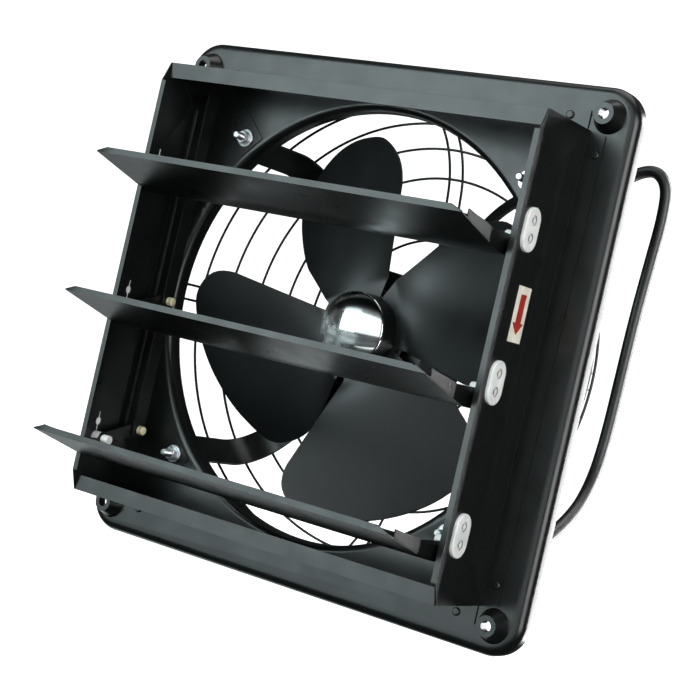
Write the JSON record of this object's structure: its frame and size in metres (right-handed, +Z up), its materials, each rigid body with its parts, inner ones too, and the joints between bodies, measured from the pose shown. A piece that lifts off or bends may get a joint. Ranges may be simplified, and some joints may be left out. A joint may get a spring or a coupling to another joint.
{
  "type": "axial extractor fan",
  "caption": "Axial extractor fan on a pressed square panel, with a motor carried on arms behind, a wire guard and a box with linked tilting louvres in front.",
  "frame": {"origin": "middle of the four wall screw holes, in the plane where the screw heads sit", "axes": "+Z up, +X to the right seen from the shutter side, +Y from the shutter towards the guard"},
  "size_m": [0.342, 0.2186, 0.342],
  "materials": {
    "black_paint": "satin black powder coat on pressed steel sheet",
    "fan_paint": "satin black paint on aluminium blades",
    "cap_chrome": "bright chrome plated cap",
    "drum_steel": "black painted steel drum",
    "wire_paint": "black dipped steel wire",
    "zinc": "bright zinc plated fasteners",
    "turned_steel": "turned steel",
    "white_plastic": "white moulded nylon",
    "cream_plastic": "cream moulded nylon",
    "copper": "enamelled copper wire",
    "core_steel": "stacked electrical steel",
    "cord_rubber": "black flexible cord sheath",
    "gland_plastic": "black moulded plastic",
    "label_ivory": "ivory adhesive film",
    "arrow_red": "red print"
  },
  "bodies": {
    "frame": {"main_panel": "black_paint", "shutter_top_rail": "black_paint", "shutter_bottom_rail": "black_paint", "shutter_left_side": "black_paint", "shutter_right_side": "black_paint", "shutter_rivets": "black_paint", "pivot_bearings_left": "white_plastic", "pivot_bearings_right": "white_plastic", "stator_core": "core_steel", "stator_windings": "copper", "front_bearing": "turned_steel", "rear_bearing": "turned_steel", "motor_front_shell": "black_paint", "motor_rear_shell": "black_paint", "motor_arm_1": "black_paint", "motor_arm_2": "black_paint", "motor_arm_3": "black_paint", "motor_arm_4": "black_paint", "arm_bolts": "zinc", "arm_washers": "zinc", "arm_nuts": "zinc", "motor_screws": "zinc", "guard_base_ring": "wire_paint", "guard_side_ring_1": "wire_paint", "guard_side_ring_2": "wire_paint", "guard_side_ring_3": "wire_paint", "guard_back_rings": "wire_paint", "guard_spokes": "wire_paint", "guard_clips": "black_paint", "cord_gland": "gland_plastic", "mains_cord": "cord_rubber", "cord_leads": "cord_rubber", "direction_label": "label_ivory", "direction_arrow": "arrow_red"},
    "rotor": {"hub_drum": "drum_steel", "hub_cap": "cap_chrome", "shaft_nut": "zinc", "fan_blade_1": "fan_paint", "fan_blade_2": "fan_paint", "fan_blade_3": "fan_paint", "fan_blade_4": "fan_paint", "rotor_shaft": "turned_steel", "rotor_core": "core_steel"},
    "louvre_1": {"louvre_1_blade": "black_paint", "louvre_1_pivot_pins": "white_plastic", "louvre_1_link_pin": "cream_plastic"},
    "louvre_2": {"louvre_2_blade": "black_paint", "louvre_2_pivot_pins": "white_plastic", "louvre_2_link_pin": "cream_plastic"},
    "louvre_3": {"louvre_3_blade": "black_paint", "louvre_3_pivot_pins": "white_plastic", "louvre_3_link_pin": "cream_plastic"},
    "tie_bar": {"tie_bar": "black_paint"}
  },
  "joints": [
    {"name": "fan_spin", "type": "hinge", "parent": "frame", "child": "rotor", "pos_m": [0, 0.0405, 0], "axis": [0, 1, 0], "continuous": true},
    {"name": "louvre_1_swing", "type": "hinge", "parent": "frame", "child": "louvre_1", "pos_m": [0, -0.0355, 0.07], "axis": [-1, 0, 0], "range_deg": [0, 77]},
    {"name": "louvre_2_swing", "type": "hinge", "parent": "frame", "child": "louvre_2", "pos_m": [0, -0.0355, -0.0187], "axis": [-1, 0, 0], "range_deg": [0, 77]},
    {"name": "louvre_3_swing", "type": "hinge", "parent": "frame", "child": "louvre_3", "pos_m": [0, -0.0355, -0.1074], "axis": [-1, 0, 0], "range_deg": [0, 77]},
    {"name": "tie_bar_link", "type": "hinge", "parent": "louvre_1", "child": "tie_bar", "pos_m": [-0.1324, -0.0045, 0.079], "axis": [-1, 0, 0], "range_deg": [-77, 0]}
  ],
  "couplings": [
    {"joint": "louvre_2_swing", "follows": "louvre_1_swing", "ratio": 1},
    {"joint": "louvre_3_swing", "follows": "louvre_1_swing", "ratio": 1},
    {"joint": "tie_bar_link", "follows": "louvre_1_swing", "ratio": -1}
  ]
}
